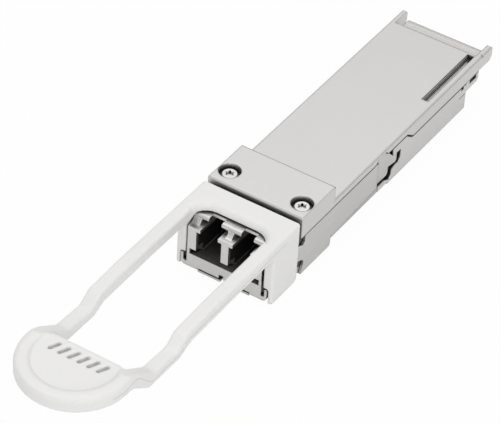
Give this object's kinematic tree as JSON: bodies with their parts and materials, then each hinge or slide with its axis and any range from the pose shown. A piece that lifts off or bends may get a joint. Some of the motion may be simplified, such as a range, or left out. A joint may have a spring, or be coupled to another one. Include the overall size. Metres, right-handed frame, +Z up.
{
  "type": "optical transceiver module",
  "caption": "Metal-cased pluggable optical transceiver with a duplex fibre socket, a board edge at the rear and a white pull tab that draws its side latches.",
  "frame": {"origin": "centre of the outline in plan, on the plane of the lowest face, which is the underside of the release slider", "axes": "+Y runs along the module from the pull tab to the contact edge, +Z is up through the flat top, +X is to the right seen from the fibre end with the flat top up"},
  "size_m": [0.019, 0.1218, 0.0147],
  "materials": {
    "shell_metal": "satin nickel plate over a fine-grained zinc die casting",
    "connector_metal": "satin nickel plate",
    "liner_black": "fine matte moulding",
    "barrel_steel": "turned",
    "gasket_rubber": "conductive elastomer, matte",
    "clamp_steel": "stamped",
    "package_gold": "satin gold plate",
    "flex_film": "polyimide film, slight sheen",
    "board_green": "solder mask",
    "contact_gold": "hard gold plate",
    "chip_black": "moulded package",
    "inductor_grey": "pressed powder",
    "passive_ceramic": "ceramic",
    "thermal_gel": "soft gap filler",
    "screw_steel": "nickel-plated",
    "spring_steel": "drawn wire",
    "slider_steel": "stamped and nickel-plated sheet",
    "tab_white": "fine satin moulding"
  },
  "bodies": {
    "module": {"top_shell": "shell_metal", "bottom_shell": "shell_metal", "lc_face": "connector_metal", "port_liner": "liner_black", "tx_barrel": "barrel_steel", "rx_barrel": "barrel_steel", "emi_gasket": "gasket_rubber", "optics_clamp": "clamp_steel", "tosa_package": "package_gold", "rosa_package": "package_gold", "tosa_flex": "flex_film", "rosa_flex": "flex_film", "main_pcb": "board_green", "contacts_top": "contact_gold", "contacts_bottom": "contact_gold", "dsp_chip": "chip_black", "driver_chip": "chip_black", "tia_chip": "chip_black", "controller_chip": "chip_black", "power_inductor": "inductor_grey", "passives": "passive_ceramic", "thermal_pad_dsp": "thermal_gel", "optics_thermal_pads": "thermal_gel", "case_screws": "screw_steel", "return_spring_left": "spring_steel", "return_spring_right": "spring_steel"},
    "release": {"release_slider": "slider_steel", "pull_tab": "tab_white"}
  },
  "joints": [
    {"name": "release_slide", "type": "slide", "parent": "module", "child": "release", "axis": [0, -1, 0], "range_m": [0, 0.002], "stiffness_N_per_m": 1000, "springref_m": -0.001, "deforming": ["return_spring_left", "return_spring_right"]}
  ]
}
